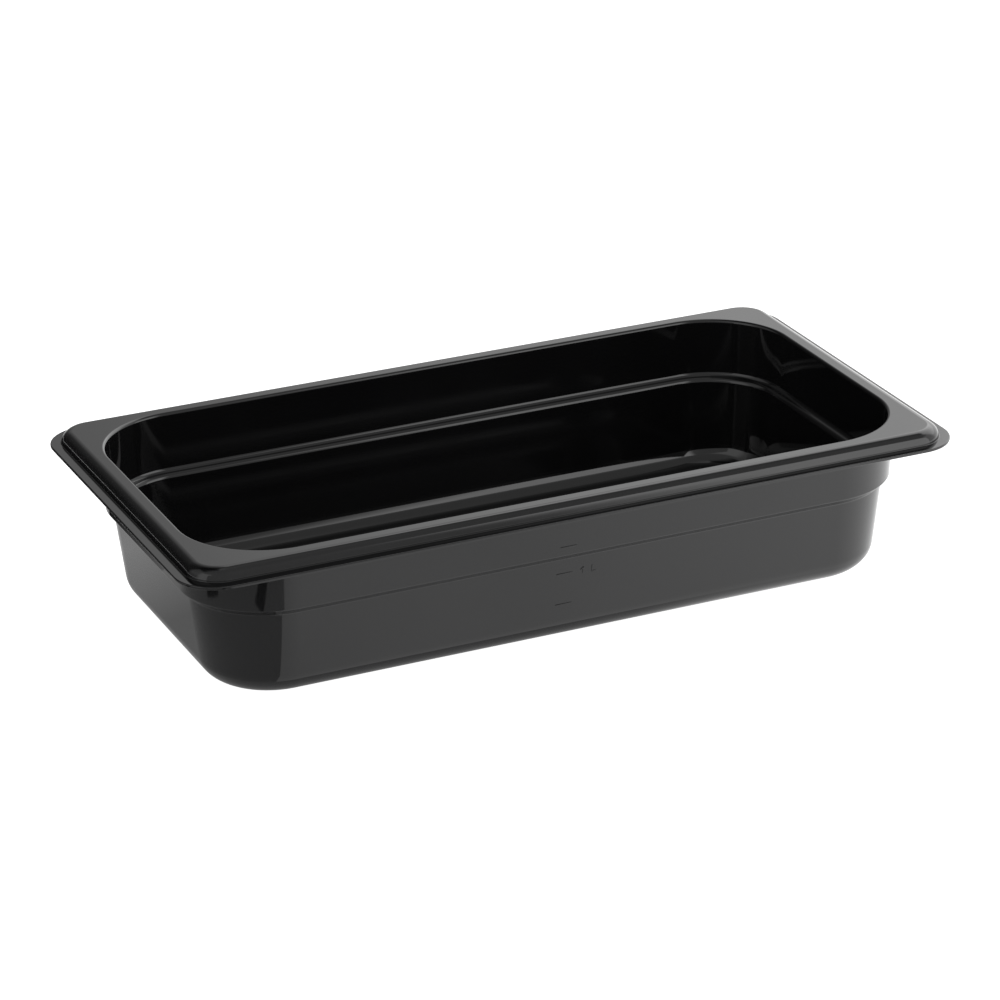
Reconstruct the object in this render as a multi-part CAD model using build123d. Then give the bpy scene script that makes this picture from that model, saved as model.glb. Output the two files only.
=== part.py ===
"""Third-size deli food pan, 64 mm deep: one moulded plastic shell and its low-relief litre marks.

Frame: origin at the centre of the base's underside, +X along the length, +Z up, millimetres.
"Inset" is a distance inward from the rim's outer edge, the same on all four sides.
"""

import os
from math import atan2, cos, degrees, hypot, radians, sin, tan

from build123d import *

# Whole pan
PAN_LENGTH = 325.0
PAN_WIDTH = 176.0
PAN_HEIGHT = 64.3

# Rim: a flat land round the opening, a rounded roll down, then a narrow ledge that ends in a thin lip
RIM_CORNER_RADIUS = 17.5
LEDGE_HEIGHT = 59.5
LEDGE_WIDTH = 4.3
LIP_THICKNESS = 1.2
RISER_DRAFT = 8.0
ROLL_RADIUS = 4.9
OPENING_EDGE_RADIUS = 1.35
RIM_SKIN = 2.4

# Walls lean inward as they go down, and step inward at the stacking shoulder
UPPER_WALL_INSET = 11.2
UPPER_DRAFT = 3.4
LOWER_DRAFT = 6.8
WALL_CORNER_RADIUS = 37.0
OUTER_SHOULDER_TOP = 39.3
OUTER_SHOULDER_BOTTOM = 36.4
OUTER_SHOULDER_STEP = 3.2
OUTER_SHOULDER_RADII = (0.8, 0.8)
INNER_SHOULDER_TOP = 40.2
INNER_SHOULDER_BOTTOM = 39.0
INNER_SHOULDER_STEP = 3.0
INNER_SHOULDER_RADII = (2.2, 2.5)
WALL_THICKNESS = 2.8
FLOOR_THICKNESS = 3.0
BASE_EDGE_RADIUS = 11.0
FLOOR_EDGE_RADIUS = 9.1

# Litre marks on the outside of the front wall, at half a litre, one litre and one and a half
MARK_HEIGHTS = (16.5, 30.0, 42.9)
MARK_CENTRE_X = -5.0
MARK_LENGTH = 7.0
MARK_STROKE = 0.45
MARK_RELIEF = 0.25
NUMERAL_SIZE = 3.0
NUMERAL_BOTTOM = MARK_HEIGHTS[1] - NUMERAL_SIZE / 2
NUMERAL_FLAG = 0.9
NUMERAL_X = 2.8
LETTER_X = 6.4
LETTER_WIDTH = 1.9

LIP_UNDERSIDE = LEDGE_HEIGHT - LIP_THICKNESS
LAND_UNDERSIDE = PAN_HEIGHT - RIM_SKIN


def leaning_inset(height, inset, reference_height, draft):
    """Inset at one height of a wall whose inset is known at the reference height."""
    return inset + (reference_height - height) * tan(radians(draft))


def outline(inset, radius, height):
    """Rounded rectangle with the given inset and corner radius, lying at the given height."""
    shape = RectangleRounded(PAN_LENGTH - 2 * inset, PAN_WIDTH - 2 * inset, radius)
    return Plane.XY.offset(height) * shape


def drafted_block(bottom, top, bottom_inset, draft):
    """Solid whose walls lean outward as they rise. All wall corners share one centre in plan."""
    corner_radius = WALL_CORNER_RADIUS + UPPER_WALL_INSET - bottom_inset
    return extrude(outline(bottom_inset, corner_radius, bottom), amount=top - bottom, taper=-draft)


def edges_at(solid, height):
    """Edges of a solid that lie wholly at one height."""
    tolerance = 1e-4
    return solid.edges().filter_by_position(Axis.Z, height - tolerance, height + tolerance)


def inset_of(edge):
    """Inset of a wall edge, found at its middle. It holds along sides and round corners alike."""
    corner_reach = WALL_CORNER_RADIUS + UPPER_WALL_INSET
    middle = edge @ 0.5
    past_x = max(abs(middle.X) - (PAN_LENGTH / 2 - corner_reach), 0)
    past_y = max(abs(middle.Y) - (PAN_WIDTH / 2 - corner_reach), 0)
    return corner_reach - hypot(past_x, past_y)


def stepped_block(levels, upper_inset, step, shoulder_radii, bottom_edge_radius):
    """Lower block under a wider upper block, with the shoulder and the bottom edge rounded.

    The levels are the bottom, the low and high ends of the sloping shoulder, and the top. The step
    is how far the shoulder goes inward.
    """
    bottom, shoulder_low, shoulder_high, top = levels
    outer_inset = leaning_inset(shoulder_high, upper_inset, LEDGE_HEIGHT, UPPER_DRAFT)
    inner_inset = outer_inset + step
    bottom_inset = leaning_inset(bottom, inner_inset, shoulder_low, LOWER_DRAFT)
    slope = degrees(atan2(step, shoulder_high - shoulder_low))
    block = drafted_block(shoulder_high, top, outer_inset, UPPER_DRAFT)
    block += drafted_block(shoulder_low, shoulder_high, inner_inset, slope)
    block += drafted_block(bottom, shoulder_low, bottom_inset, LOWER_DRAFT)
    middle_inset = (outer_inset + inner_inset) / 2
    outer_radius, inner_radius = shoulder_radii
    inner_edges = edges_at(block, shoulder_low).filter_by(lambda edge: inset_of(edge) > middle_inset)
    block = fillet(inner_edges, inner_radius)
    outer_edges = edges_at(block, shoulder_high).filter_by(lambda edge: inset_of(edge) < middle_inset)
    block = fillet(outer_edges, outer_radius)
    return fillet(edges_at(block, bottom), bottom_edge_radius)


def outer_form():
    """Everything inside the outer wall, up into the rim."""
    levels = (0, OUTER_SHOULDER_BOTTOM, OUTER_SHOULDER_TOP, LAND_UNDERSIDE)
    step, radii = OUTER_SHOULDER_STEP, OUTER_SHOULDER_RADII
    return stepped_block(levels, UPPER_WALL_INSET, step, radii, BASE_EDGE_RADIUS)


def cavity():
    """The space that the food fills, up to the land of the rim."""
    levels = (FLOOR_THICKNESS, INNER_SHOULDER_BOTTOM, INNER_SHOULDER_TOP, PAN_HEIGHT)
    step, radii = INNER_SHOULDER_STEP, INNER_SHOULDER_RADII
    return stepped_block(levels, UPPER_WALL_INSET + WALL_THICKNESS, step, radii, FLOOR_EDGE_RADIUS)


def rim():
    """Lip, ledge, roll and land, hollowed underneath by an open groove so that it is a thin skin."""
    lip = extrude(outline(0, RIM_CORNER_RADIUS, LIP_UNDERSIDE), amount=LIP_THICKNESS)
    raised_outline = outline(LEDGE_WIDTH, RIM_CORNER_RADIUS - LEDGE_WIDTH, LEDGE_HEIGHT)
    raised = extrude(raised_outline, amount=PAN_HEIGHT - LEDGE_HEIGHT, taper=RISER_DRAFT)
    raised = fillet(edges_at(raised, PAN_HEIGHT), ROLL_RADIUS)
    groove_inset = LEDGE_WIDTH + RIM_SKIN
    groove_outline = outline(groove_inset, RIM_CORNER_RADIUS - groove_inset, LIP_UNDERSIDE)
    groove = extrude(groove_outline, amount=LAND_UNDERSIDE - LIP_UNDERSIDE)
    return lip + raised - groove


def opening_edges(shell):
    """The closed line of edges where the land meets the cavity."""
    return edges_at(shell, PAN_HEIGHT).filter_by(
        lambda edge: abs(edge.center().X) < PAN_LENGTH / 2 - UPPER_WALL_INSET
        and abs(edge.center().Y) < PAN_WIDTH / 2 - UPPER_WALL_INSET
    )


def pan_body():
    """The moulded pan in one piece."""
    shell = rim() + outer_form() - cavity()
    return fillet(opening_edges(shell), OPENING_EDGE_RADIUS)


def front_wall_plane(x, height):
    """Plane on the outside of the front wall, with its X along the pan and its Y up the wall."""
    if height > OUTER_SHOULDER_TOP:
        draft = UPPER_DRAFT
        inset = leaning_inset(height, UPPER_WALL_INSET, LEDGE_HEIGHT, draft)
    else:
        draft = LOWER_DRAFT
        upper = leaning_inset(OUTER_SHOULDER_TOP, UPPER_WALL_INSET, LEDGE_HEIGHT, UPPER_DRAFT)
        inset = leaning_inset(height, upper + OUTER_SHOULDER_STEP, OUTER_SHOULDER_BOTTOM, draft)
    outward = (0, -cos(radians(draft)), -sin(radians(draft)))
    return Plane(origin=(x, inset - PAN_WIDTH / 2, height), x_dir=(1, 0, 0), z_dir=outward)


def raised_mark(shape, x, height):
    """A flat shape standing out of the front wall by the marks' relief."""
    return extrude(front_wall_plane(x, height) * shape, amount=MARK_RELIEF)


def numeral_one():
    """Outline of the figure one: an upright stroke with a small flag at its top left."""
    half = MARK_STROKE / 2
    top = NUMERAL_SIZE
    points = [
        (half, 0),
        (half, top),
        (-half, top),
        (-half - NUMERAL_FLAG, top - NUMERAL_FLAG),
        (-half - NUMERAL_FLAG, top - NUMERAL_FLAG - MARK_STROKE),
        (-half, top - MARK_STROKE - half),
        (-half, 0),
    ]
    return make_face(Polyline(*points, close=True))


def letter_l():
    """Outline of the letter that stands for litres: an upright stroke with a foot to the right."""
    points = [
        (0, 0),
        (LETTER_WIDTH, 0),
        (LETTER_WIDTH, MARK_STROKE),
        (MARK_STROKE, MARK_STROKE),
        (MARK_STROKE, NUMERAL_SIZE),
        (0, NUMERAL_SIZE),
    ]
    return make_face(Polyline(*points, close=True))


def litre_marks():
    """Three level lines, and the label beside the one-litre line, as separate raised solids."""
    line = SlotOverall(MARK_LENGTH, MARK_STROKE)
    marks = [raised_mark(line, MARK_CENTRE_X, height) for height in MARK_HEIGHTS]
    marks.append(raised_mark(numeral_one(), NUMERAL_X, NUMERAL_BOTTOM))
    marks.append(raised_mark(letter_l(), LETTER_X, NUMERAL_BOTTOM))
    return Compound(children=[mark.solid() for mark in marks])


os.makedirs("parts", exist_ok=True)
export_step(pan_body(), "parts/pan_body.step")
export_step(litre_marks(), "parts/litre_marks.step")
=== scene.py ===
"""Looks of the deli food pan: a fine smooth mesh of the moulding, its plastic, floor, light and camera.

Metres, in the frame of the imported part: origin under the middle of the base, +X along the length.
"Inset" is a distance inward from the rim's outer edge, the same on all four sides.
"""

from math import atan2, cos, pi, radians, sin, tan

import bmesh
import bpy
from mathutils import Matrix, Vector


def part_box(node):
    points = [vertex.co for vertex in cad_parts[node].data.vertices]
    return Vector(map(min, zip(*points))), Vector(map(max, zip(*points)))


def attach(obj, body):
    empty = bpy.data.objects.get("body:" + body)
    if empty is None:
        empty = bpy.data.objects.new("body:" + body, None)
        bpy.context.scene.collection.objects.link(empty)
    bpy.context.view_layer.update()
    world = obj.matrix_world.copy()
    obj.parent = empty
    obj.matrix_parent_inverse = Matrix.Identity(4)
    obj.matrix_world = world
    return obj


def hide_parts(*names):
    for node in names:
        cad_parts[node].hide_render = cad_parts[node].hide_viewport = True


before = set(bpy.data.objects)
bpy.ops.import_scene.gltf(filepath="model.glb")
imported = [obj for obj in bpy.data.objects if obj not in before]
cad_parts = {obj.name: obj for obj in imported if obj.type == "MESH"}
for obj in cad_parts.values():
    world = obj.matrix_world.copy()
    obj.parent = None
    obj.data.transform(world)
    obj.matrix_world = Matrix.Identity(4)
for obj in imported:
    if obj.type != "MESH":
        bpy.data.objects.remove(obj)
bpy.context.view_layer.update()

PAN_LOW, PAN_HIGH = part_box("pan_body")
PAN_LENGTH = PAN_HIGH.x - PAN_LOW.x
PAN_WIDTH = PAN_HIGH.y - PAN_LOW.y
PAN_HEIGHT = PAN_HIGH.z

# Rim
RIM_CORNER_RADIUS = 0.0175
LEDGE_HEIGHT = PAN_HEIGHT - 0.0048
LEDGE_WIDTH = 0.0043
LIP_THICKNESS = 0.0012
LIP_EDGE_RADIUS = 0.0004
LEDGE_FILLET = 0.0003
RISER_DRAFT = radians(8)
ROLL_RADIUS = 0.0049
OPENING_EDGE_RADIUS = 0.00135
RIM_SKIN = 0.0024
GROOVE_FILLET = 0.0006

# Walls, shoulder, floor and base
UPPER_WALL_INSET = 0.0112
UPPER_DRAFT = radians(3.4)
LOWER_DRAFT = radians(6.8)
WALL_CORNER_RADIUS = 0.0370
OUTER_SHOULDER_TOP = 0.0393
OUTER_SHOULDER_BOTTOM = 0.0364
OUTER_SHOULDER_STEP = 0.0032
OUTER_SHOULDER_RADII = (0.0008, 0.0008)
INNER_SHOULDER_TOP = 0.0402
INNER_SHOULDER_BOTTOM = 0.0390
INNER_SHOULDER_STEP = 0.0030
INNER_SHOULDER_RADII = (0.0022, 0.0025)
WALL_THICKNESS = 0.0028
FLOOR_THICKNESS = 0.0030
BASE_EDGE_RADIUS = 0.0110
FLOOR_EDGE_RADIUS = 0.0091

# Mesh fineness
CORNER_SEGMENTS = 32
LONG_SIDE_SEGMENTS = 36
SHORT_SIDE_SEGMENTS = 14
ARC_STEP = radians(7)
MINIMUM_ARC_STEPS = 4
WALL_ROW_HEIGHT = 0.006
FLAT_MARGIN = 0.020

# Litre marks on the front wall: low rounded ridges, rooted a little way into the wall
MARK_HEIGHTS = (0.0165, 0.0300, 0.0429)
MARK_CENTRE_X = -0.0050
MARK_LENGTH = 0.0070
MARK_STROKE = 0.0005
MARK_RELIEF = 0.00023
MARK_ROOT = 0.00005
NUMERAL_SIZE = 0.0030
NUMERAL_BOTTOM = MARK_HEIGHTS[1] - NUMERAL_SIZE / 2
NUMERAL_FLAG = 0.0009
NUMERAL_X = 0.0028
LETTER_X = 0.0064
LETTER_WIDTH = 0.0019
RIDGE_PROFILE = ((1.0, 0.0), (1.0, 0.65), (0.94, 0.85), (0.80, 0.97), (0.55, 1.0))
RIDGE_END_SEGMENTS = 8

# Plastic
PLASTIC_IOR = 1.585
PLASTIC_DARK = (0.0040, 0.0040, 0.0042)
PLASTIC_LIGHT = (0.0060, 0.0060, 0.0063)
TINT_SCALE = 14
TINT_DETAIL = 4
HAZE_SCALE = 60
HAZE_DETAIL = 6
GLOSS_ROUGHNESS = (0.04, 0.09)
WAVE_SCALE = 35
WAVE_DETAIL = 1
WAVE_HEIGHT = 0.00002
SKIN_SCALE = 900
SKIN_DETAIL = 2
SKIN_HEIGHT = 0.0000004
NOISE_SPAN = (0.3, 0.7)

# Floor and backdrop
FLOOR_SIZE = 8
FLOOR_GAP = 0.0003
FLOOR_COLOUR = 0.6
FLOOR_ROUGHNESS = 0.9
FLOOR_GLOW = 1.0
BACKDROP_GLOW = 1.1
BACKDROP_HEIGHT = 3.0

# Cards that only show as reflections in the plastic. Outlines are (west, south, east, north), levels are
# (share of the span, radiance), and each lift is above the sheet or card below it. The levels here and in
# the surround are set to bring the reflections close to those in the photograph.
SHEET_SIZE = 3.0
SHEET_LIFT = 0.0001
CARD_LIFT = 0.00005
SHADE_LIFT = 0.000025
SHEET_SPAN = (-0.4, 0.4)
SHEET_LEVELS = (
    (0.0, 0.5), (0.30, 0.60), (0.35, 0.74), (0.375, 0.84), (0.41, 0.90), (0.5, 0.97),
    (0.64, 1.22), (0.8, 1.6), (1.0, 1.8),
)
GREY_CARD = (-0.70, -0.70, -0.124, 0.085)
GREY_CARD_SPAN = (0.015, 0.085)
GREY_CARD_LEVELS = ((0.0, 0.30), (1.0, 0.60))
DARK_STRIPS = (
    (-0.178, -0.600, -0.160, -0.128),
    (-0.600, -0.068, -0.221, -0.040),
)
DARK_STRIP_LEVEL = 0.015
BLACK_CARD = (-1.500, 0.060, -0.168, 1.500)
BLACK_CARD_SPAN = (0.06, 0.12)
BLACK_CARD_LEVELS = ((0.0, 0.30), (1.0, 0.02))
CONTACT_INSET = 0.0160
CONTACT_SPAN = (-0.15, 0.15)
CONTACT_LEVELS = ((0.0, 0.36), (0.50, 0.44), (0.60, 0.55), (0.72, 0.85), (1.0, 1.15))
FRONT_PANEL_Y = -0.60
FRONT_PANEL_REACH = 1.0
FRONT_PANEL_HEIGHT = 0.77
FRONT_PANEL_SPAN = (0.0, 0.5)
FRONT_PANEL_LEVELS = ((0.0, 0.45), (0.34, 0.50), (0.40, 0.62), (0.52, 1.30), (0.66, 2.10), (1.0, 2.10))

# Studio surround: radiance against the sine of the elevation. Behind the pan it's also multiplied by a
# level that goes with the turn away from +X, as a share of half a turn.
WORLD_PEAK = 3.0
FRONT_LEVELS = ((0.0, 1.0), (0.68, 1.0), (0.76, 0.45), (1.0, 0.40))
BACK_LEVELS = (
    (0.0, 0.9), (0.26, 1.0), (0.34, 1.40), (0.38, 1.48), (0.80, 1.2), (0.85, 0.15), (0.92, 0.22),
    (1.0, 0.38),
)
BACK_SIDE_LEVELS = (
    (0.0, 1.7), (0.320, 1.7), (0.332, 0.95), (0.348, 0.95), (0.372, 0.72), (0.394, 0.44), (0.403, 0.38),
    (0.46, 0.26), (0.52, 0.10), (0.60, 0.05), (0.64, 0.03), (0.74, 0.03), (0.82, 0.3), (1.0, 0.4),
)
FRONT_TO_BACK = (-0.15, 0.15)

# Camera
CAMERA_AZIMUTH = radians(-24.2)
CAMERA_ELEVATION = radians(22.73)
CAMERA_ROLL = radians(-1.03)
CAMERA_DISTANCE = 1.619
CAMERA_AIM = (0.01712, 0.00663, 0.0302)
CAMERA_LENS = 144.625
SENSOR_WIDTH = 36
CAMERA_SHIFT = (-0.03237, -0.00729)
CAMERA_CLIP = (0.01, 100)

LIP_UNDERSIDE = LEDGE_HEIGHT - LIP_THICKNESS
LAND_UNDERSIDE = PAN_HEIGHT - RIM_SKIN


def leaning_inset(height, inset, reference_height, draft):
    """Inset at one height of a wall whose inset is known at the reference height."""
    return inset + (reference_height - height) * tan(draft)


def rim_radius(inset):
    """Corner radius of the rim's outer shapes, which share the lip's corner centre."""
    return RIM_CORNER_RADIUS - inset


def wall_radius(inset):
    """Corner radius of the walls, which share one centre further in."""
    return WALL_CORNER_RADIUS + UPPER_WALL_INSET - inset


def section_corners():
    """Corners of the moulding's cross-section, from the floor over the rim to the base.

    Each is (inset, height, rounding, corner radius rule).
    """
    inner = UPPER_WALL_INSET + WALL_THICKNESS
    step_out = leaning_inset(INNER_SHOULDER_TOP, inner, LEDGE_HEIGHT, UPPER_DRAFT)
    step_in = step_out + INNER_SHOULDER_STEP
    inner_foot = leaning_inset(FLOOR_THICKNESS, step_in, INNER_SHOULDER_BOTTOM, LOWER_DRAFT)
    opening = leaning_inset(PAN_HEIGHT, inner, LEDGE_HEIGHT, UPPER_DRAFT)
    riser_top = leaning_inset(PAN_HEIGHT, LEDGE_WIDTH, LEDGE_HEIGHT, -RISER_DRAFT)
    groove = LEDGE_WIDTH + RIM_SKIN
    wall_top = leaning_inset(LAND_UNDERSIDE, UPPER_WALL_INSET, LEDGE_HEIGHT, UPPER_DRAFT)
    ledge_out = leaning_inset(OUTER_SHOULDER_TOP, UPPER_WALL_INSET, LEDGE_HEIGHT, UPPER_DRAFT)
    ledge_in = ledge_out + OUTER_SHOULDER_STEP
    foot = leaning_inset(0, ledge_in, OUTER_SHOULDER_BOTTOM, LOWER_DRAFT)
    return [
        (inner_foot, FLOOR_THICKNESS, FLOOR_EDGE_RADIUS, wall_radius),
        (step_in, INNER_SHOULDER_BOTTOM, INNER_SHOULDER_RADII[1], wall_radius),
        (step_out, INNER_SHOULDER_TOP, INNER_SHOULDER_RADII[0], wall_radius),
        (opening, PAN_HEIGHT, OPENING_EDGE_RADIUS, wall_radius),
        (riser_top, PAN_HEIGHT, ROLL_RADIUS, rim_radius),
        (LEDGE_WIDTH, LEDGE_HEIGHT, LEDGE_FILLET, rim_radius),
        (0, LEDGE_HEIGHT, LIP_EDGE_RADIUS, rim_radius),
        (0, LIP_UNDERSIDE, LIP_EDGE_RADIUS, rim_radius),
        (groove, LIP_UNDERSIDE, LEDGE_FILLET, rim_radius),
        (groove, LAND_UNDERSIDE, GROOVE_FILLET, rim_radius),
        (wall_top, LAND_UNDERSIDE, GROOVE_FILLET, wall_radius),
        (ledge_out, OUTER_SHOULDER_TOP, OUTER_SHOULDER_RADII[0], wall_radius),
        (ledge_in, OUTER_SHOULDER_BOTTOM, OUTER_SHOULDER_RADII[1], wall_radius),
        (foot, 0, BASE_EDGE_RADIUS, wall_radius),
    ]


def rounded_section(corners, start, end):
    """Rows of the section, as (point, normal, plan corner radius), with every corner an arc."""
    spots = [start] + [Vector((-corner[0], corner[1])) for corner in corners] + [end]
    rows = []
    for i, (_, _, rounding, plan_radius) in enumerate(corners):
        before = (spots[i + 1] - spots[i]).normalized()
        after = (spots[i + 2] - spots[i + 1]).normalized()
        turn = atan2(before.x * after.y - before.y * after.x, before.dot(after))
        side = 1 if turn > 0 else -1
        begin = spots[i + 1] - before * rounding * tan(abs(turn) / 2)
        normal = Vector((-before.y, before.x))
        centre = begin + normal * rounding * side
        steps = max(MINIMUM_ARC_STEPS, round(abs(turn) / ARC_STEP))
        for k in range(steps + 1):
            turned = Matrix.Rotation(turn * k / steps, 2) @ normal
            point = centre - turned * rounding * side
            rows.append((point, turned, plan_radius(-point.x)))
    return rows


def with_wall_rows(rows):
    """Adds rows along the straight stretches, so that the quads stay near square."""
    full = [rows[0]]
    for here, ahead in zip(rows, rows[1:]):
        pieces = max(1, round((ahead[0] - here[0]).length / WALL_ROW_HEIGHT))
        for k in range(1, pieces):
            share = k / pieces
            radius = here[2] + (ahead[2] - here[2]) * share
            full.append((here[0].lerp(ahead[0], share), here[1], radius))
        full.append(ahead)
    return full


def plan_ring(inset, radius):
    """Plan points and outward directions round a rounded rectangle, anticlockwise.

    The ring starts in the middle of the corner at +X +Y.
    """
    half_x = PAN_LENGTH / 2 - inset
    half_y = PAN_WIDTH / 2 - inset
    ring = []
    for quarter, (side_x, side_y) in enumerate(((1, 1), (-1, 1), (-1, -1), (1, -1))):
        centre = Vector((side_x * (half_x - radius), side_y * (half_y - radius)))
        for k in range(CORNER_SEGMENTS + 1):
            angle = (quarter + k / CORNER_SEGMENTS) * pi / 2
            outward = Vector((cos(angle), sin(angle)))
            ring.append((centre + outward * radius, outward))
        is_long = quarter % 2 == 0
        segments = LONG_SIDE_SEGMENTS if is_long else SHORT_SIDE_SEGMENTS
        side_length = 2 * ((half_x if is_long else half_y) - radius)
        heading = Vector((-outward.y, outward.x))
        side_start = ring[-1][0]
        for k in range(1, segments):
            ring.append((side_start + heading * side_length * k / segments, outward))
    half_corner = CORNER_SEGMENTS // 2
    return ring[half_corner:] + ring[:half_corner]


def grid_cap(bm, edge, facing):
    """Closes a flat ring of vertices with a grid of quads that follows its four sides."""
    across = CORNER_SEGMENTS + LONG_SIDE_SEGMENTS
    up = CORNER_SEGMENTS + SHORT_SIDE_SEGMENTS
    top = [edge[across - i] for i in range(across + 1)]
    left = [edge[across + up - j] for j in range(up + 1)]
    bottom = [edge[across + up + i] for i in range(across + 1)]
    right = [edge[(2 * across + up + j) % len(edge)] for j in range(up + 1)]
    grid = [bottom]
    for j in range(1, up):
        v = j / up
        row = [left[j]]
        for i in range(1, across):
            u = i / across
            sides = left[j].co.lerp(right[j].co, u) + bottom[i].co.lerp(top[i].co, v)
            low = bottom[0].co.lerp(bottom[-1].co, u)
            high = top[0].co.lerp(top[-1].co, u)
            row.append(bm.verts.new(sides - low.lerp(high, v)))
        row.append(right[j])
        grid.append(row)
    grid.append(top)
    for low_row, high_row in zip(grid, grid[1:]):
        for i in range(across):
            quad = [low_row[i], low_row[i + 1], high_row[i + 1], high_row[i]]
            bm.faces.new(quad if facing > 0 else quad[::-1])


def add_object(name, data):
    """A new object with the given mesh or camera data, linked into the scene."""
    added = bpy.data.objects.new(name, data)
    bpy.context.scene.collection.objects.link(added)
    return added


def smooth_piece(name, bm, normals):
    """Turns a bmesh into an object whose shading follows the given exact normals."""
    mesh = bpy.data.meshes.new(name)
    bm.to_mesh(mesh)
    bm.free()
    mesh.shade_smooth()
    mesh.normals_split_custom_set_from_vertices(normals)
    return add_object(name, mesh)


def pan_shell():
    """The whole moulding as one closed surface: rings of quads along the section, and two caps."""
    corners = section_corners()
    floor_start = Vector((-corners[0][0] - FLAT_MARGIN, FLOOR_THICKNESS))
    base_end = Vector((-corners[-1][0] - FLAT_MARGIN, 0))
    rows = with_wall_rows(rounded_section(corners, floor_start, base_end))
    bm = bmesh.new()
    normals = []
    rings = []
    for point, normal, radius in rows:
        ring = []
        for place, outward in plan_ring(-point.x, radius):
            ring.append(bm.verts.new((place.x, place.y, point.y)))
            normals.append((outward.x * normal.x, outward.y * normal.x, normal.y))
        rings.append(ring)
    count = len(rings[0])
    for inner, outer in zip(rings, rings[1:]):
        for k in range(count):
            ahead = (k + 1) % count
            bm.faces.new((inner[k], outer[k], outer[ahead], inner[ahead]))
    grid_cap(bm, rings[0], 1)
    normals += [(0, 0, 1)] * (len(bm.verts) - len(normals))
    grid_cap(bm, rings[-1], -1)
    normals += [(0, 0, -1)] * (len(bm.verts) - len(normals))
    return smooth_piece("pan_shell", bm, normals)


def front_wall_place(x, height):
    """Matrix whose X runs along the front wall, whose Y runs up it and whose Z points out of it."""
    if height > OUTER_SHOULDER_TOP:
        draft = UPPER_DRAFT
        inset = leaning_inset(height, UPPER_WALL_INSET, LEDGE_HEIGHT, draft)
    else:
        draft = LOWER_DRAFT
        upper = leaning_inset(OUTER_SHOULDER_TOP, UPPER_WALL_INSET, LEDGE_HEIGHT, UPPER_DRAFT)
        inset = leaning_inset(height, upper + OUTER_SHOULDER_STEP, OUTER_SHOULDER_BOTTOM, draft)
    tilt = Matrix.Rotation(pi / 2 + draft, 4, "X")
    return Matrix.Translation((x, inset - PAN_WIDTH / 2, height)) @ tilt


def ridge(bm, start, end, place):
    """A low rounded ridge from one point to another of the wall's own plane, with round ends."""
    start, end = Vector(start), Vector(end)
    along = (end - start).normalized()
    aside = Vector((-along.y, along.x))
    levels = [(MARK_STROKE / 2, -MARK_ROOT)]
    levels += [(share * MARK_STROKE / 2, rise * MARK_RELIEF) for share, rise in RIDGE_PROFILE]
    rings = []
    for reach, height in levels:
        ring = []
        for k in range(2 * RIDGE_END_SEGMENTS + 2):
            at_end = k <= RIDGE_END_SEGMENTS
            step = k if at_end else k - 1
            angle = step / RIDGE_END_SEGMENTS * pi - pi / 2
            spot = (end if at_end else start) + (along * cos(angle) + aside * sin(angle)) * reach
            ring.append(bm.verts.new(place @ Vector((spot.x, spot.y, height))))
        rings.append(ring)
    for lower, upper in zip(rings, rings[1:]):
        for k in range(len(lower)):
            ahead = (k + 1) % len(lower)
            bm.faces.new((lower[k], lower[ahead], upper[ahead], upper[k]))
    bm.faces.new(rings[-1])
    bm.faces.new(rings[0][::-1])


def litre_marks():
    """Three level lines up the front wall, and the label beside the one-litre line."""
    bm = bmesh.new()
    reach = (MARK_LENGTH - MARK_STROKE) / 2
    for height in MARK_HEIGHTS:
        ridge(bm, (-reach, 0), (reach, 0), front_wall_place(MARK_CENTRE_X, height))
    top = NUMERAL_SIZE - MARK_STROKE
    numeral = front_wall_place(NUMERAL_X, NUMERAL_BOTTOM + MARK_STROKE / 2)
    ridge(bm, (0, 0), (0, top), numeral)
    ridge(bm, (0, top), (-NUMERAL_FLAG, top - NUMERAL_FLAG), numeral)
    letter = front_wall_place(LETTER_X + MARK_STROKE / 2, NUMERAL_BOTTOM + MARK_STROKE / 2)
    ridge(bm, (0, 0), (0, top), letter)
    ridge(bm, (0, 0), (LETTER_WIDTH - MARK_STROKE, 0), letter)
    mesh = bpy.data.meshes.new("litre_marks_relief")
    bm.to_mesh(mesh)
    bm.free()
    mesh.shade_smooth()
    return add_object("litre_marks_relief", mesh)


def noise(nodes, links, place, scale, detail):
    """A noise texture laid out in the object's own space."""
    texture = nodes.new("ShaderNodeTexNoise")
    texture.inputs["Scale"].default_value = scale
    texture.inputs["Detail"].default_value = detail
    links.new(place.outputs["Object"], texture.inputs["Vector"])
    return texture


def spread(nodes, links, source, low, high):
    """The texture's value, stretched to run from low to high."""
    node = nodes.new("ShaderNodeMapRange")
    node.inputs["From Min"].default_value = NOISE_SPAN[0]
    node.inputs["From Max"].default_value = NOISE_SPAN[1]
    node.inputs["To Min"].default_value = low
    node.inputs["To Max"].default_value = high
    links.new(source, node.inputs["Value"])
    return node.outputs["Result"]


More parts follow.
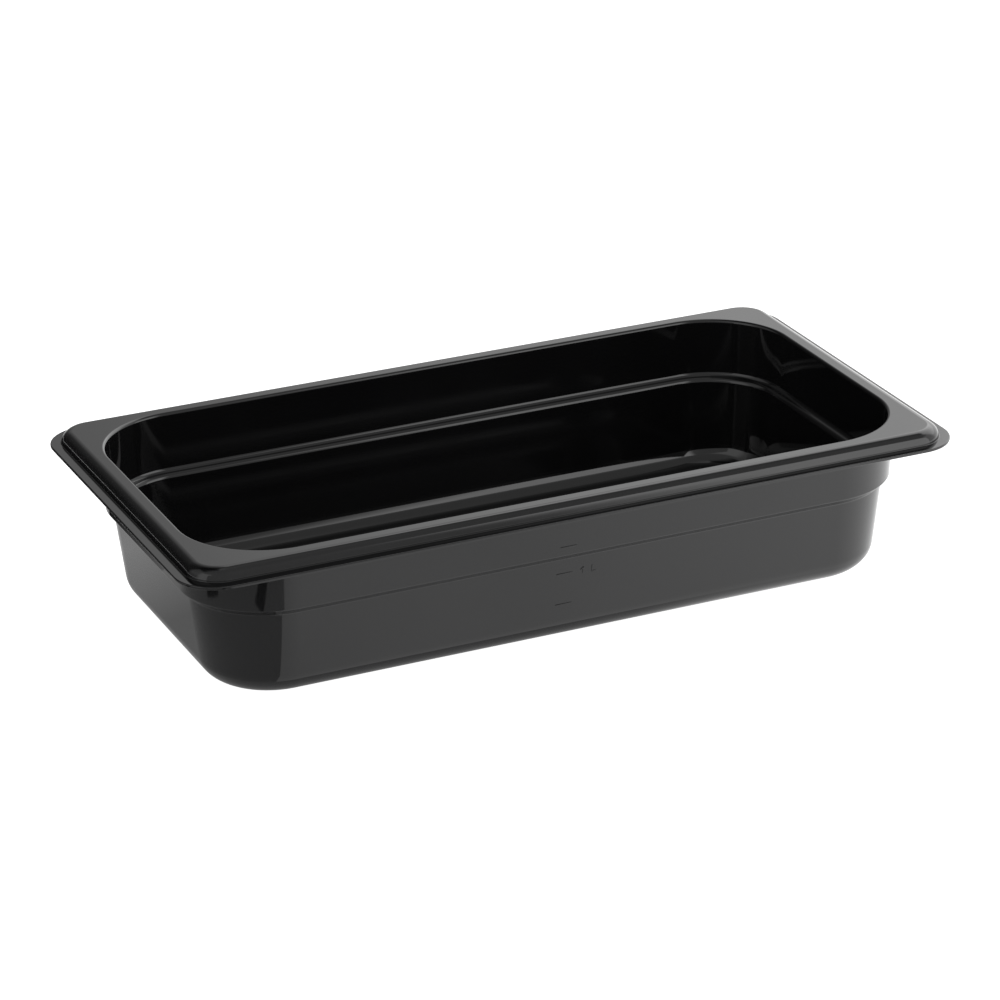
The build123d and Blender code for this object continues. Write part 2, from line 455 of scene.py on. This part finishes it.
def black_polycarbonate(name):
    """Glossy black moulding: cloudy tint, uneven gloss, moulding waves and a fine skin."""
    material = bpy.data.materials.new(name)
    material.use_nodes = True
    nodes, links = material.node_tree.nodes, material.node_tree.links
    shader = nodes["Principled BSDF"]
    shader.inputs["IOR"].default_value = PLASTIC_IOR
    place = nodes.new("ShaderNodeTexCoord")

    cloud = noise(nodes, links, place, TINT_SCALE, TINT_DETAIL)
    tint = nodes.new("ShaderNodeMix")
    tint.data_type = "RGBA"
    tint.inputs["A"].default_value = (*PLASTIC_DARK, 1)
    tint.inputs["B"].default_value = (*PLASTIC_LIGHT, 1)
    links.new(spread(nodes, links, cloud.outputs["Fac"], 0, 1), tint.inputs["Factor"])
    links.new(tint.outputs["Result"], shader.inputs["Base Color"])

    haze = noise(nodes, links, place, HAZE_SCALE, HAZE_DETAIL)
    gloss = spread(nodes, links, haze.outputs["Fac"], *GLOSS_ROUGHNESS)
    links.new(gloss, shader.inputs["Roughness"])

    wave = noise(nodes, links, place, WAVE_SCALE, WAVE_DETAIL)
    wave_bump = nodes.new("ShaderNodeBump")
    wave_bump.inputs["Distance"].default_value = WAVE_HEIGHT
    links.new(wave.outputs["Fac"], wave_bump.inputs["Height"])
    skin = noise(nodes, links, place, SKIN_SCALE, SKIN_DETAIL)
    skin_bump = nodes.new("ShaderNodeBump")
    skin_bump.inputs["Distance"].default_value = SKIN_HEIGHT
    links.new(skin.outputs["Fac"], skin_bump.inputs["Height"])
    links.new(wave_bump.outputs["Normal"], skin_bump.inputs["Normal"])
    links.new(skin_bump.outputs["Normal"], shader.inputs["Normal"])
    return material


def plain_material(name, colour, roughness, glow):
    """Matt face of one grey, which can also glow white."""
    material = bpy.data.materials.new(name)
    material.use_nodes = True
    shader = material.node_tree.nodes["Principled BSDF"]
    shader.inputs["Base Color"].default_value = (colour, colour, colour, 1)
    shader.inputs["Roughness"].default_value = roughness
    shader.inputs["Specular IOR Level"].default_value = 0
    shader.inputs["Emission Color"].default_value = (1, 1, 1, 1)
    shader.inputs["Emission Strength"].default_value = glow
    return material


def stage_card(name, corners, material):
    """A flat card with the given outline."""
    mesh = bpy.data.meshes.new(name)
    mesh.from_pydata(corners, [], [tuple(range(len(corners)))])
    mesh.materials.append(material)
    card = add_object(name, mesh)
    return card


def lying_corners(west, south, east, north, level):
    """Outline of a level rectangle between the given X and Y values."""
    return [(west, south, level), (east, south, level), (east, north, level), (west, north, level)]


def only_in_reflections(card):
    """The card shows in glossy reflections, and neither blocks nor adds any other light."""
    card.visible_camera = False
    card.visible_diffuse = False
    card.visible_shadow = False


def only_for_camera(card):
    """The card shows straight to the camera, and plays no part in the light on anything."""
    card.visible_glossy = False
    card.visible_diffuse = False
    card.visible_shadow = False


def pale_floor():
    """A large plain pale sheet that the pan stands on. It glows, so it stays white with no shadow."""
    half = FLOOR_SIZE / 2
    corners = lying_corners(-half, -half, half, half, PAN_LOW.z - FLOOR_GAP)
    stage_card("floor", corners, plain_material("floor_sheet", FLOOR_COLOUR, FLOOR_ROUGHNESS, FLOOR_GLOW))


def white_backdrop():
    """White walls round the floor, behind the pan in low views."""
    half = FLOOR_SIZE / 2
    white = plain_material("backdrop_face", colour=0, roughness=1, glow=BACKDROP_GLOW)
    feet = lying_corners(-half, -half, half, half, PAN_LOW.z - FLOOR_GAP)
    for k, foot in enumerate(feet):
        ahead = feet[(k + 1) % len(feet)]
        corners = [foot, ahead, (*ahead[:2], BACKDROP_HEIGHT), (*foot[:2], BACKDROP_HEIGHT)]
        only_for_camera(stage_card(f"backdrop_{k + 1}", corners, white))


def graded_glow(name, axis, span, levels):
    """Face of a card whose glow changes along one axis, from one end of the span to the other."""
    material = bpy.data.materials.new(name)
    material.use_nodes = True
    nodes, links = material.node_tree.nodes, material.node_tree.links
    shader = nodes["Principled BSDF"]
    shader.inputs["Base Color"].default_value = (0, 0, 0, 1)
    shader.inputs["Specular IOR Level"].default_value = 0
    shader.inputs["Emission Strength"].default_value = WORLD_PEAK
    place = nodes.new("ShaderNodeTexCoord")
    split = nodes.new("ShaderNodeSeparateXYZ")
    links.new(place.outputs["Object"], split.inputs["Vector"])
    along = nodes.new("ShaderNodeMapRange")
    along.inputs["From Min"].default_value, along.inputs["From Max"].default_value = span
    links.new(split.outputs[axis], along.inputs["Value"])
    glow = level_ramp(nodes, links, along.outputs["Result"], levels)
    links.new(glow, shader.inputs["Emission Color"])
    return material


def reflection_cards():
    """What the plastic mirrors close by.

    A glowing table sheet, with darker cards and a dim patch under the pan on it, and a panel in front.
    """
    half = SHEET_SIZE / 2
    level = PAN_LOW.z - FLOOR_GAP + SHEET_LIFT
    sheet = graded_glow("table_sheet_face", "X", SHEET_SPAN, SHEET_LEVELS)
    only_in_reflections(stage_card("table_sheet", lying_corners(-half, -half, half, half, level), sheet))
    grey = graded_glow("grey_card_face", "Y", GREY_CARD_SPAN, GREY_CARD_LEVELS)
    level += CARD_LIFT
    only_in_reflections(stage_card("grey_card", lying_corners(*GREY_CARD, level), grey))
    level += CARD_LIFT
    dark = plain_material("dark_strip_face", colour=0, roughness=1, glow=DARK_STRIP_LEVEL)
    for k, strip in enumerate(DARK_STRIPS):
        only_in_reflections(stage_card(f"dark_strip_{k + 1}", lying_corners(*strip, level), dark))
    black = graded_glow("black_card_face", "Y", BLACK_CARD_SPAN, BLACK_CARD_LEVELS)
    only_in_reflections(stage_card("black_card", lying_corners(*BLACK_CARD, level), black))
    level += SHADE_LIFT
    shade = graded_glow("contact_shade_face", "X", CONTACT_SPAN, CONTACT_LEVELS)
    outline = [(*place, level) for place, _ in plan_ring(CONTACT_INSET, wall_radius(CONTACT_INSET))]
    only_in_reflections(stage_card("contact_shade", outline, shade))
    panel = graded_glow("front_panel_face", "X", FRONT_PANEL_SPAN, FRONT_PANEL_LEVELS)
    foot, reach, top = FRONT_PANEL_Y, FRONT_PANEL_REACH, FRONT_PANEL_HEIGHT
    corners = [(-reach, foot, 0), (reach, foot, 0), (reach, foot, top), (-reach, foot, top)]
    only_in_reflections(stage_card("front_panel", corners, panel))


def level_ramp(nodes, links, value, stops):
    """Radiance along a value that runs from 0 to 1, straight between the given stops."""
    ramp = nodes.new("ShaderNodeValToRGB")
    elements = ramp.color_ramp.elements
    while len(elements) < len(stops):
        elements.new(0.5)
    for element, (position, level) in zip(elements, stops):
        element.position = position
        element.color = (level / WORLD_PEAK, level / WORLD_PEAK, level / WORLD_PEAK, 1)
    links.new(value, ramp.inputs["Fac"])
    return ramp.outputs["Color"]


def maths(nodes, links, operation, *values):
    """One arithmetic node on sockets or numbers."""
    node = nodes.new("ShaderNodeMath")
    node.operation = operation
    for socket, value in zip(node.inputs, values):
        if isinstance(value, (int, float)):
            socket.default_value = value
        else:
            links.new(value, socket)
    return node.outputs["Value"]


def studio_surround():
    """Soft white studio: brighter to the right, dimmer overhead, and dark behind to the left."""
    world = bpy.data.worlds.new("studio")
    world.use_nodes = True
    nodes, links = world.node_tree.nodes, world.node_tree.links
    place = nodes.new("ShaderNodeTexCoord")
    split = nodes.new("ShaderNodeSeparateXYZ")
    links.new(place.outputs["Generated"], split.inputs["Vector"])
    height = split.outputs["Z"]
    turn = maths(nodes, links, "ARCTAN2", split.outputs["Y"], split.outputs["X"])
    turn = maths(nodes, links, "ABSOLUTE", turn)
    turn = maths(nodes, links, "DIVIDE", turn, pi)
    back = level_ramp(nodes, links, height, BACK_LEVELS)
    back_side = level_ramp(nodes, links, turn, BACK_SIDE_LEVELS)
    back = maths(nodes, links, "MULTIPLY", back, back_side)
    front = level_ramp(nodes, links, height, FRONT_LEVELS)
    front = maths(nodes, links, "DIVIDE", front, WORLD_PEAK)
    behind = nodes.new("ShaderNodeMapRange")
    behind.interpolation_type = "SMOOTHSTEP"
    behind.inputs["From Min"].default_value = FRONT_TO_BACK[0]
    behind.inputs["From Max"].default_value = FRONT_TO_BACK[1]
    links.new(split.outputs["Y"], behind.inputs["Value"])
    blend = nodes.new("ShaderNodeMix")
    blend.data_type = "FLOAT"
    links.new(behind.outputs["Result"], blend.inputs["Factor"])
    links.new(front, blend.inputs["A"])
    links.new(back, blend.inputs["B"])
    background = nodes["Background"]
    links.new(blend.outputs["Result"], background.inputs["Color"])
    background.inputs["Strength"].default_value = WORLD_PEAK * WORLD_PEAK
    bpy.context.scene.world = world


def photo_camera():
    """Camera in front of the pan's left end, looking down at it."""
    data = bpy.data.cameras.new("camera")
    data.lens = CAMERA_LENS
    data.sensor_width = SENSOR_WIDTH
    data.shift_x, data.shift_y = CAMERA_SHIFT
    data.clip_start, data.clip_end = CAMERA_CLIP
    view = add_object("camera", data)
    turn = Matrix.Rotation(CAMERA_AZIMUTH, 4, "Z")
    lean = Matrix.Rotation(pi / 2 - CAMERA_ELEVATION, 4, "X")
    roll = Matrix.Rotation(CAMERA_ROLL, 4, "Z")
    back_off = Matrix.Translation((0, 0, CAMERA_DISTANCE))
    view.matrix_world = Matrix.Translation(CAMERA_AIM) @ turn @ lean @ roll @ back_off
    bpy.context.scene.camera = view


shell_look = black_polycarbonate("pan_plastic_look")
shell = pan_shell()
shell.data.materials.append(shell_look)
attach(shell, "root")
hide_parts("pan_body")

marks = litre_marks()
marks.data.materials.append(black_polycarbonate("mark_plastic_look"))
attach(marks, "root")
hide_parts("litre_marks")

pale_floor()
white_backdrop()
reflection_cards()
studio_surround()
photo_camera()
bpy.context.scene.view_settings.view_transform = "Standard"
